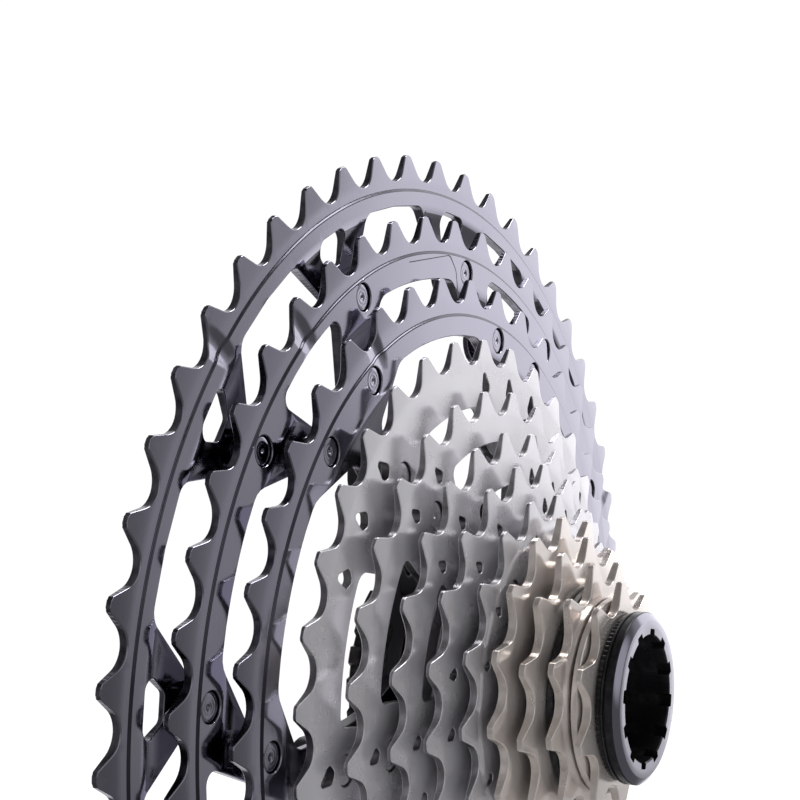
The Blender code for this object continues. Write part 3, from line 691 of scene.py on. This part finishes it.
def secondLoops(own):
    inner = []
    for a in armCentres:
        inner += [corner(own["deepRim"], a - 40.5, 4.0)]
        inner += [(*p, 0) for p in arcLoop(own["deepRim"], a - 36, a - 24, 2)]
        inner += [corner(own["deepRim"], a - 19.5, 4.0)]
        inner += [(*p, 0) for p in bossEnd(own["rivetCircle"], a - own["spread"], own["boss"])]
        inner += [corner(own["shortRim"], a - 8.6, 4.5)]
        inner += [(*p, 0) for p in arcLoop(own["shortRim"], a - 4, a + 4, 2)]
        inner += [corner(own["shortRim"], a + 8.6, 4.5)]
        inner += [(*p, 0) for p in bossEnd(own["rivetCircle"], a + own["spread"], own["boss"])]
    loops = [toothEdge(own["teeth"], own["timing"]), fillet(inner)]
    loops += [ringLoop(largest["hole"], 32, polar(largest["rivetCircle"], a)) for a in outerRivets()]
    loops += [ringLoop(own["hole"], 32, polar(own["rivetCircle"], a)) for a in middleRivets()]
    return loops


def thirdLoops(own):
    inner = []
    for a in armCentres:
        foot = a + own["offset"]
        inner += [corner(own["rim"], a - 44.0, 5.0)]
        inner += [(*p, 0) for p in arcLoop(own["rim"], a - 39, a - 21, 1.5)]
        inner += [corner(own["rim"], a - 16.0, 5.0)]
        inner += [corner(own["neck"], foot - own["neckHalf"], 3.0)]
        inner += [(*p, 0) for p in bossEnd(own["rivetCircle"], foot, own["boss"])]
        inner += [corner(own["neck"], foot + own["neckHalf"], 3.0)]
    loops = [toothEdge(own["teeth"], own["timing"]), fillet(inner)]
    loops += [ringLoop(second["hole"], 32, polar(second["rivetCircle"], a)) for a in middleRivets()]
    loops += [ringLoop(own["hole"], 32, polar(own["rivetCircle"], a + own["offset"])) for a in armCentres]
    return loops


titanium = {"boss": 4.8, "hole": 2.82, "innerCircle": 43.8, "offset": -2.0, "longCircle": 27.0,
            "longHole": 2.05, "bore": 22.8, "step": 0.12, "taper": 0.4, "windowInner": 32.5,
            "windowHalf": 16.0, "windowDepth": 5.1, "deepRim": 8.3,
            "teardrops": {33: (4.3, 4.9), 28: (3.6, 3.9), 24: (3.9, 3.6), 21: (3.6, 3.3), 18: (3.0, 2.8)}}
timings = {33: 0.7, 28: 3.1, 24: 0.4, 21: 6.4, 18: 13.6, 16: 14.1, 14: 19.8, 12: 21.6, 10: 28.0}


def teardrops(teeth, skip):
    # small pointed holes under the teeth, with the point towards the rim
    depth, size = titanium["teardrops"][teeth]
    loops = []
    for k in range(teeth):
        if skip(k):
            continue
        a = timings[teeth] + k * 360 / teeth
        r = rootRadius(teeth) - depth
        x, z = polar(r, a)
        tip = polar(r + size * 0.75, a + 1.2)
        left = (x + polar(size * 0.42, a + 115)[0], z + polar(size * 0.42, a + 115)[1])
        right = (x + polar(size * 0.42, a - 100)[0], z + polar(size * 0.42, a - 100)[1])
        foot = polar(r - size * 0.42, a)
        loops.append(fillet([(*tip, size * 0.14), (*right, size * 0.25),
                             (*foot, size * 0.2), (*left, size * 0.25)]))
    return loops


def firstTitaniumLoops(own):
    teeth = 33
    rim = rootRadius(teeth) - own["deepRim"]
    inner = []
    for a in armCentres:
        foot = a + own["offset"]
        inner += [corner(rim, a - 38.5, 5.0)]
        inner += [(*p, 0) for p in arcLoop(rim, a - 33, a - 15, 1.5)]
        inner += [corner(rim, a - 10.0, 4.0)]
        inner += [(*p, 0) for p in bossEnd(own["innerCircle"], foot, own["boss"])]
        inner += [corner(own["innerCircle"] + 2.0, a + 17.5, 4.0)]
    loops = [toothEdge(teeth, timings[teeth]), fillet(inner)]
    loops += [ringLoop(own["hole"], 32, polar(third["rivetCircle"], a + own["offset"])) for a in armCentres]
    loops += [ringLoop(own["hole"], 32, polar(own["innerCircle"], a + own["offset"])) for a in armCentres]
    return loops + teardrops(teeth, lambda k: overBay(teeth, k))


def overBay(teeth, k):
    # the rim over a bay is plain, so only the teeth over an arm have a hole
    a = timings[teeth] + k * 360 / teeth
    return not any(-6 < (a - centre + 180) % 360 - 180 < 25 for centre in armCentres)


def windowLoops(teeth, own):
    loops = []
    outer = rootRadius(teeth) - own["windowDepth"]
    for a in armCentres:
        c = a + 30
        half = own["windowHalf"]
        ring = [corner(outer, c - half, 2.2)]
        ring += [(*p, 0) for p in arcLoop(outer, c - half + 5, c + half - 5, 2)]
        ring += [corner(outer, c + half, 2.2), corner(own["windowInner"], c + half, 2.0)]
        ring += [(*p, 0) for p in arcLoop(own["windowInner"], c + half - 6, c - half + 6, 2)]
        ring += [corner(own["windowInner"], c - half, 2.0)]
        loops.append(fillet(ring))
    return loops


def longHoles(own):
    return [ringLoop(own["longHole"], 24, polar(own["longCircle"], 20 + 120 * k)) for k in range(3)]


def splineBore(outer=17.6, inner=16.5, half=2.2, lugs=24):
    points = []
    for k in range(lugs):
        a = k * 360 / lugs
        points += [polar(outer, a - half - 0.6), polar(inner, a - half), polar(inner, a + half),
                   polar(outer, a + half + 0.6), polar(outer, a + 180 / lugs)]
    return points


def faceTop(teeth):
    return stack["firstFace"] - stack["spacing"] * stack["teeth"].index(teeth)


def buildLargeSprockets():
    for own, loops in ((largest, largestLoops), (second, secondLoops), (third, thirdLoops)):
        teeth = own["teeth"]
        groove = own["groove"]
        legs = own["legStart"] - 1.3
        # the groove band and the legs band take finishes of painted shade
        platePiece("alloySprocket%d" % teeth, loops(own), faceTop(teeth), stack["alloy"],
                   [alloyFace, alloyWallCutAndShade, grooveShade, legPaintedShade], "cluster", ["sprocket_%d" % teeth],
                   legRelief(teeth, own), bandRelief(teeth, groove, 0.2, own["taper"]),
                   bandCreases(groove, legs) + rampLoops(own), 1.5, 0.22,
                   ((groove - 0.15, groove + 0.42), (0, legs)))
        print("alloy sprocket", teeth)


def paintedShadeLine():
    # a thin near-black line of painted shade on the second sprocket's face, that turns down past an outer rivet
    points = fillet([(*polar(r, a), bend) for r, a, bend in
                     ((84.0, 112.0, 0), (84.9, 100.2, 1.6), (82.0, 98.3, 2.5), (76.6, 97.4, 0),
                      (76.5, 97.5, 0), (82.0, 98.5, 2.5), (84.7, 100.4, 1.6), (83.8, 112.0, 0))])
    verts = [(x * mm, (faceTop(45) - 0.012) * mm, z * mm) for x, z in points]
    mesh = bpy.data.meshes.new("paintedShadeLine")
    mesh.from_pydata(verts, [], [tuple(range(len(verts)))])
    showPiece(mesh, "paintedShadeLine", [coreBlack], "cluster", ["sprocket_45"], None)


def buildTitaniumSprockets():
    own = titanium
    innerHoles = [ringLoop(own["hole"], 32, polar(own["innerCircle"], a + own["offset"])) for a in armCentres]
    shapes = {
        33: firstTitaniumLoops(own),
        28: [toothEdge(28, timings[28]), ringLoop(own["bore"], 96)] + windowLoops(28, own) + longHoles(own)
            + innerHoles + teardrops(28, lambda k: overWindow(28, k)),
        24: [toothEdge(24, timings[24]), ringLoop(own["bore"], 96)] + windowLoops(24, own) + longHoles(own)
            + teardrops(24, lambda k: overWindow(24, k)),
        21: [toothEdge(21, timings[21]), ringLoop(own["bore"], 96)] + longHoles(own)
            + teardrops(21, lambda k: k % 3 == 0),
        18: [toothEdge(18, timings[18]), splineBore()] + longHoles(own) + teardrops(18, lambda k: k % 3 == 0)}
    for teeth, loops in shapes.items():
        sink = bandRelief(teeth, rootRadius(teeth) - 1.2, own["step"], own["taper"])
        platePiece("titaniumSprocket%d" % teeth, loops, faceTop(teeth), stack["titanium"],
                   [titaniumFace, titaniumWallCutAndShade], "cluster", ["sprocket_%d" % teeth],
                   sink, sink, (), 1.2, 0.16)
        print("titanium sprocket", teeth)


def overWindow(teeth, k):
    # the rim above a window is too thin for a hole
    a = timings[teeth] + k * 360 / teeth
    return min(abs((a - c - 30 + 180) % 360 - 180) for c in armCentres) < 19


def buildSteelSprockets():
    for teeth in (16, 14, 12, 10):
        bore = ringLoop(14.6, 96) if teeth == 10 else splineBore()
        sink = bandRelief(teeth, rootRadius(teeth) - 1.2, 0.05, 0.3)
        platePiece("steelSprocket%d" % teeth, [toothEdge(teeth, timings[teeth]), bore], faceTop(teeth),
                   stack["steel"], [steelFace, steelWallCutAndShade], "sprocket_%d" % teeth, ["sprocket_%d" % teeth],
                   sink, sink, (), 0.9, 0.2)
        print("steel sprocket", teeth)


rivet = {"steps": 32, "shank": 2.4, "innerShank": 2.6, "longShank": 1.8, "shoulder": 3.8, "gap": 0.3,
         "dimple": 0.32, "dimpleDepth": 0.35, "ringLine": 1.35, "lip": 0.14, "sunk": 0.4}


def rivetProfile(shank, shoulder, start, top, bottom, end):
    # flush head with a dished centre, a shoulder between the sprockets, and a plain tail
    own = rivet
    start = start + own["sunk"]
    points = [(0, start + own["dimpleDepth"]), (own["dimple"] * 0.5, start + own["dimpleDepth"] * 0.9),
              (own["dimple"], start + 0.05), (own["dimple"] + 0.1, start),
              (own["ringLine"] - 0.1, start), (own["ringLine"], start + 0.015), (own["ringLine"] + 0.1, start),
              (shank - own["lip"], start), (shank - 0.04, start + 0.04), (shank, start + own["lip"])]
    if shoulder:
        points += [(shank, top - 0.02), (shoulder - 0.15, top), (shoulder, top + 0.15),
                   (shoulder, bottom - 0.15), (shoulder - 0.15, bottom), (shank, bottom + 0.02)]
    points += [(shank, end - 0.3), (shank - 0.3, end), (0, end)]
    return points


def rivetPiece(name, node, shank, outboard, inboard, finish, slot):
    # its shoulder keeps the outboard and inboard sprockets apart, and a long rivet has none
    low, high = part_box(node)
    centre = ((low.x + high.x) / 2 / mm, (low.z + high.z) / 2 / mm)
    shoulder, top, bottom = 0, 0, 0
    if outboard:
        shoulder = rivet["shoulder"]
        top = faceTop(outboard) + stack[slot] + rivet["gap"]
        bottom = faceTop(inboard) - rivet["gap"]
    profile = rivetProfile(shank, shoulder, low.y / mm, top, bottom, high.y / mm)
    mesh = turnedMesh(name, profile, rivet["steps"], centre)
    showPiece(mesh, name, [finish], "cluster", [node], 40)


def buildRivets():
    plain, inner = rivet["shank"], rivet["innerShank"]
    for number in range(1, 13):
        rivetPiece("outerRivet%02d" % number, "outer_rivet_%02d" % number, plain, 45, 51, alloyFace, "alloy")
        rivetPiece("middleRivet%02d" % number, "middle_rivet_%02d" % number, plain, 39, 45, alloyFace, "alloy")
    for number in range(1, 7):
        rivetPiece("carrierRivet%d" % number, "carrier_rivet_%d" % number, inner, 33, 39,
                   titaniumFace, "titanium")
        rivetPiece("innerRivet%d" % number, "inner_rivet_%d" % number, inner, 28, 33, titaniumFace, "titanium")
    for number in range(1, 4):
        rivetPiece("longRivet%d" % number, "cluster_rivet_%d" % number, rivet["longShank"], 0, 0,
                   titaniumFace, "titanium")
    print("rivets made: 39")


core = {"radius": 17.3, "grooveDepth": 1.1, "ribs": 24, "grooveHalf": 3.48, "bore": 11.5, "nose": 14.3,
        "thread": 13.1, "flange": 24.0, "flangeBack": -2.5, "flangeNotch": 1.0, "notchHalf": 2.6}


def buildCore():
    low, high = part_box("core_body")
    noseY = low.y / mm
    barrelY = faceTop(12) + stack["steel"] - 1.0
    thread, nose, barrel, flange, bore = (core[k] for k in ("thread", "nose", "radius", "flange", "bore"))
    back = core["flangeBack"]
    # (radius, y, kind): kind 1 is cut by the grooves, kind 2 by the flange's notches
    spec = [(thread, noseY + 0.4, 0), (thread + 0.4, noseY, 0), (nose - 0.25, noseY, 0),
            (nose, noseY + 0.25, 0), (nose, barrelY - 0.05, 0), (barrel - 0.3, barrelY, 1),
            (barrel, barrelY + 0.3, 1), (barrel, -2.85, 1), (barrel, -2.8, 0), (barrel, back, 0),
            (flange - 0.4, back, 2), (flange, back + 0.3, 2), (flange, -0.3, 2), (flange - 0.3, 0, 2),
            (bore + 0.4, 0, 0), (bore, -0.4, 0), (bore, noseY + 6.0, 0), (thread, noseY + 6.0, 0)]
    y = noseY + 5.9
    while y > noseY + 0.9:
        spec += [(thread, y, 0), (thread + 0.3, y - 0.3, 0), (thread + 0.3, y - 0.5, 0), (thread, y - 0.8, 0)]
        y -= 1.0

    def cut(radius, kind, angle):
        offset = offCentre(angle, 360 / core["ribs"])
        if kind == 1 and offset < core["grooveHalf"]:
            return radius - core["grooveDepth"]
        if kind == 2 and offset < core["notchHalf"]:
            return radius - core["flangeNotch"]
        return radius
    mesh = notchedMesh("ribbedCore", spec, core["ribs"] * 12, cut)
    showPiece(mesh, "ribbedCore", [coreBlack], "core", ["core_body"], 30)
    print("core made")


carrier = {"hub": 23.5, "armHalf": 5.0, "waist": 3.6, "circle": 53.0, "offset": -2.0, "hole": 2.82}


def buildCarrier():
    own = carrier
    outline = []
    for a in armCentres:
        foot = a + own["offset"]
        outline += [(*p, 0) for p in arcLoop(own["hub"], a - 40, a - 20, 2)]
        for side, r in ((-1, 34), (-1, 44)):
            x, z = polar(r, foot)
            nx, nz = polar(own["waist"], foot + 90 * side)
            outline.append((x + nx, z + nz, 8))
        cx, cz = polar(own["circle"], foot)
        for k in range(13):
            x, z = polar(own["armHalf"], foot - 90 + 15 * k)
            outline.append((cx + x, cz + z, 0))
        for side, r in ((1, 44), (1, 34)):
            x, z = polar(r, foot)
            nx, nz = polar(own["waist"], foot + 90 * side)
            outline.append((x + nx, z + nz, 8))
    loops = [fillet(outline), splineBore()]
    loops += [ringLoop(own["hole"], 32, polar(own["circle"], a + own["offset"])) for a in armCentres]
    for a in armCentres:  # long pocket through each arm
        foot = a + own["offset"]
        loops.append(fillet([(*polar(29, foot - 3.2), 1.5), (*polar(45, foot - 1.6), 1.4),
                             (*polar(45, foot + 1.6), 1.4), (*polar(29, foot + 3.2), 1.5)]))
    y0, y1 = nodeY("carrier")
    platePiece("rivetCarrier", loops, y0, y1 - y0, [carrierDark], "cluster", ["carrier"],
               grid=2.0, edge=0.4)
    print("carrier made")


def buildRings():
    spacers = [("inboardSpacer", "inboard_spacer", "cluster", 17.9, 20.5, coreBlack, "black"),
               ("spacer18", "spacer_18_16", "sprocket_16", 17.9, 20.5, coreBlack, "black"),
               ("spacer16", "spacer_16_14", "sprocket_14", 17.9, 20.5, coreBlack, "black"),
               ("spacer14", "spacer_14_12", "sprocket_12", 17.9, 20.5, coreBlack, "black"),
               ("spacer12", "spacer_12_10", "sprocket_10", 14.6, 18.4, steelFace, "steel")]
    for name, node, body, inner, outer, finish, slot in spacers:
        y0, y1 = nodeY(node)
        e = 0.15
        profile = [(inner + e, y0), (outer - e, y0), (outer, y0 + e), (outer, y1 - e), (outer - e, y1),
                   (inner + e, y1), (inner, y1 - e), (inner, y0 + e)]
        mesh = turnedMesh(name, profile, 96, closed=True)
        showPiece(mesh, name, [finish], body, [node], 40)
    # the washer has a knurled edge
    y0, y1 = nodeY("lockring_washer")
    teeth = 90
    edgeLoop = []
    for k in range(teeth):
        edgeLoop += [polar(15.35, k * 360 / teeth), polar(15.6, (k + 0.3) * 360 / teeth),
                     polar(15.6, (k + 0.6) * 360 / teeth)]
    platePiece("knurledWasher", [edgeLoop, ringLoop(13.4, 96)], y0, y1 - y0, [coreBlack], "washer",
               ["lockring_washer"], grid=0.8, edge=0.06)
    print("spacers and washer made")


lockring = {"face": 14.75, "outer": 16.1, "bore": 11.8, "notch": 13.05, "notchCount": 12, "notchHalf": 5.6,
            "notchDepth": 2.4, "sleeve": 12.8, "flange": 3.2}


def buildLockring():
    own = lockring
    y0, y1 = nodeY("lockring")
    outer, face, sleeve, bore = (own[k] for k in ("outer", "face", "sleeve", "bore"))
    flange = y0 + own["flange"]
    steps = 360
    spec = [(own["notch"] + 0.15, y0, 0), (face - 0.2, y0, 0), (face, y0 + 0.08, 0), (outer - 0.15, y0 + 0.95, 0),
            (outer, y0 + 1.15, 0), (outer, flange - 0.9, 0), (outer - 0.35, flange - 0.7, 0),
            (outer - 0.35, flange - 0.5, 0), (outer, flange - 0.35, 0), (outer - 0.1, flange, 0),
            (sleeve, flange, 0)]
    y = flange + 0.3
    while y < y1 - 1.1:
        spec += [(sleeve, y, 0), (sleeve - 0.25, y + 0.3, 0), (sleeve - 0.25, y + 0.5, 0), (sleeve, y + 0.8, 0)]
        y += 1.0
    spec += [(sleeve - 0.3, y1, 0), (bore + 0.2, y1, 0), (bore, y1 - 0.2, 0),
             (bore, y0 + own["notchDepth"] + 0.02, 0), (bore, y0 + own["notchDepth"], 1), (bore, y0 + 0.25, 1),
             (bore + 0.25, y0, 1)]

    def cut(radius, kind, angle):
        if kind == 1 and offCentre(angle, 360 / own["notchCount"]) < own["notchHalf"]:
            return max(radius, own["notch"])
        return radius
    mesh = notchedMesh("notchedLockring", spec, steps, cut)
    for polygon in mesh.polygons:  # satin on the outer face, gloss on the bevel
        band = polygon.index // steps
        polygon.material_index = 1 if band in (0, len(spec) - 1) else 2 if band in (1, 2) else 0
    showPiece(mesh, "notchedLockring", [coreBlack, ringSatin, alloyFace], "lockring", ["lockring"], 30)
    print("lockring made")


buildLargeSprockets()
paintedShadeLine()
buildTitaniumSprockets()
buildSteelSprockets()
buildRivets()
buildCore()
buildCarrier()
buildRings()
buildLockring()


# Floor, light and camera.
# each glow is the bearing and height of its middle, the angles of its edge and core, and its strength
studio = {"floor": (0.93, 0.93, 0.94), "floorDrop": 0.002, "room": 0.15,
          "floorGlow": 0.7, "backdrop": 1.05,
          "topBox": {"place": (0.36, -0.36, 1.05), "size": (0.5, 0.5), "power": 6},
          "glows": [(-3, 22, 33.5, 23.5, 1.26), (-3, 22, 50, 30, 0.33), (45, 0, 52, 36, 0.85),
                    (-157, 8, 30, 12, 0.35), (-90, 22, 32, 13, 0.5)]}


def buildFloor():
    z = cadLow.z - studio["floorDrop"]
    mesh = bpy.data.meshes.new("paleFloor")
    steps = 64
    verts = [(0, 0, z)] + [(6 * cos(2 * pi * k / steps), 6 * sin(2 * pi * k / steps), z) for k in range(steps)]
    faces = [(0, k + 1, (k + 1) % steps + 1) for k in range(steps)]
    mesh.from_pydata(verts, [], faces)
    floor = bpy.data.objects.new("paleFloor", mesh)
    bpy.context.scene.collection.objects.link(floor)
    material, tree, shader, where = finishNodes("palePaper")
    paper = noiseNode(tree, where, 30, 4.0)
    tint = rampNode(tree, paper.outputs["Fac"], 0.3, 0.7, studio["floor"], (0.96, 0.96, 0.965))
    tree.links.new(tint.outputs["Color"], shader.inputs["Base Color"])
    shader.inputs["Roughness"].default_value = 0.9
    shader.inputs["Emission Color"].default_value = (1, 1, 1, 1)
    shader.inputs["Emission Strength"].default_value = studio["floorGlow"]
    mesh.materials.append(material)
    floor.visible_glossy = False


def buildWorld():
    world = bpy.data.worlds.new("studio")
    bpy.context.scene.world = world
    world.use_nodes = True
    tree = world.node_tree
    back = tree.nodes["Background"]
    out = tree.nodes["World Output"]
    where = tree.nodes.new("ShaderNodeTexCoord")
    total = None
    for bearing, height, edge, core, glow in studio["glows"]:
        # a soft bright patch of the room, from its edge angle in to its core angle
        cosine = tree.nodes.new("ShaderNodeVectorMath")
        cosine.operation = "DOT_PRODUCT"
        cosine.inputs[1].default_value = (*[cos(radians(height)) * v for v in polar(1, bearing)],
                                          sin(radians(height)))
        tree.links.new(where.outputs["Generated"], cosine.inputs[0])
        patch = rangeNode(tree, cosine.outputs["Value"], cos(radians(edge)), cos(radians(core)), 0, glow)
        patch.interpolation_type = "SMOOTHSTEP"
        if total is None:
            total = patch.outputs["Result"]
            continue
        brighter = tree.nodes.new("ShaderNodeMath")
        brighter.operation = "MAXIMUM"
        tree.links.new(total, brighter.inputs[0])
        tree.links.new(patch.outputs["Result"], brighter.inputs[1])
        total = brighter.outputs["Value"]
    room = tree.nodes.new("ShaderNodeMath")
    room.operation = "ADD"
    room.inputs[1].default_value = studio["room"]
    tree.links.new(total, room.inputs[0])
    back.inputs["Color"].default_value = (0.985, 0.98, 1.0, 1)
    tree.links.new(room.outputs["Value"], back.inputs["Strength"])
    plain = tree.nodes.new("ShaderNodeBackground")
    plain.inputs["Color"].default_value = (1, 1, 1, 1)
    plain.inputs["Strength"].default_value = studio["backdrop"]
    path = tree.nodes.new("ShaderNodeLightPath")
    mix = tree.nodes.new("ShaderNodeMixShader")
    tree.links.new(path.outputs["Is Camera Ray"], mix.inputs["Fac"])
    tree.links.new(back.outputs["Background"], mix.inputs[1])
    tree.links.new(plain.outputs["Background"], mix.inputs[2])
    tree.links.new(mix.outputs["Shader"], out.inputs["Surface"])


def softBox(name, own):
    light = bpy.data.lights.new(name, "AREA")
    light.shape = "RECTANGLE"
    light.size, light.size_y = own["size"]
    light.energy = own["power"]
    lamp = bpy.data.objects.new(name, light)
    lamp.location = own["place"]
    lamp.rotation_euler = (-Vector(own["place"])).to_track_quat("-Z", "Y").to_euler()  # it faces the core
    bpy.context.scene.collection.objects.link(lamp)


view = {"lens": 74.80, "sensor": 36, "place": (-0.3012, -0.1606, 0.0023), "turn": (99.011, -5.160, -61.717)}


def buildCamera():
    lens = bpy.data.cameras.new("camera")
    lens.lens = view["lens"]
    lens.sensor_width = view["sensor"]
    lens.clip_start = 0.01
    lens.clip_end = 50
    camera = bpy.data.objects.new("camera", lens)
    camera.location = view["place"]
    camera.rotation_euler = [radians(turn) for turn in view["turn"]]
    bpy.context.scene.collection.objects.link(camera)
    bpy.context.scene.camera = camera
    bpy.context.scene.view_settings.view_transform = "Standard"


buildFloor()
buildWorld()
softBox("topBox", studio["topBox"])
buildCamera()
print("studio made")
